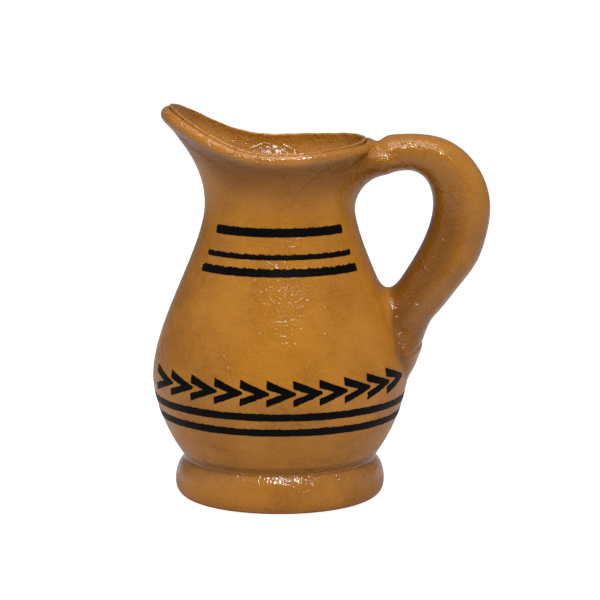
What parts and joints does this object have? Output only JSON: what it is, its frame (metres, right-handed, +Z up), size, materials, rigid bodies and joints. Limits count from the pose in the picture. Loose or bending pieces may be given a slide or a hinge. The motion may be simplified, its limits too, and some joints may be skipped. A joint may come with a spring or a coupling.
{
  "type": "clay jug",
  "caption": "Small round-bellied clay jug with a coiled foot, flared neck, high pouring spout, rolled rim, loop handle and painted bands and chevrons.",
  "frame": {"origin": "centre of the flat underside, on the jug's turning axis, in the plane that it stands on", "axes": "+Z up along the turning axis, -X towards the spout, +X towards the handle, -Y out of the painted front flank"},
  "size_m": [0.1281, 0.0978, 0.15],
  "materials": {
    "clay": "satin",
    "black_slip": "satin"
  },
  "bodies": {
    "root": {"back_chevron_1": "black_slip", "back_chevron_10": "black_slip", "back_chevron_11": "black_slip", "back_chevron_2": "black_slip", "back_chevron_3": "black_slip", "back_chevron_4": "black_slip", "back_chevron_5": "black_slip", "back_chevron_6": "black_slip", "back_chevron_7": "black_slip", "back_chevron_8": "black_slip", "back_chevron_9": "black_slip", "back_neck_stripe_lower": "black_slip", "back_neck_stripe_middle": "black_slip", "back_neck_stripe_upper": "black_slip", "base_slab": "clay", "belly_wall": "clay", "foot_ring": "clay", "front_chevron_1": "black_slip", "front_chevron_10": "black_slip", "front_chevron_11": "black_slip", "front_chevron_2": "black_slip", "front_chevron_3": "black_slip", "front_chevron_4": "black_slip", "front_chevron_5": "black_slip", "front_chevron_6": "black_slip", "front_chevron_7": "black_slip", "front_chevron_8": "black_slip", "front_chevron_9": "black_slip", "front_neck_stripe_lower": "black_slip", "front_neck_stripe_middle": "black_slip", "front_neck_stripe_upper": "black_slip", "handle": "clay", "lower_belly_ring": "black_slip", "lower_handle_root": "clay", "neck_wall": "clay", "rim_coil": "clay", "upper_belly_ring": "black_slip", "upper_handle_root": "clay"}
  },
  "joints": []
}
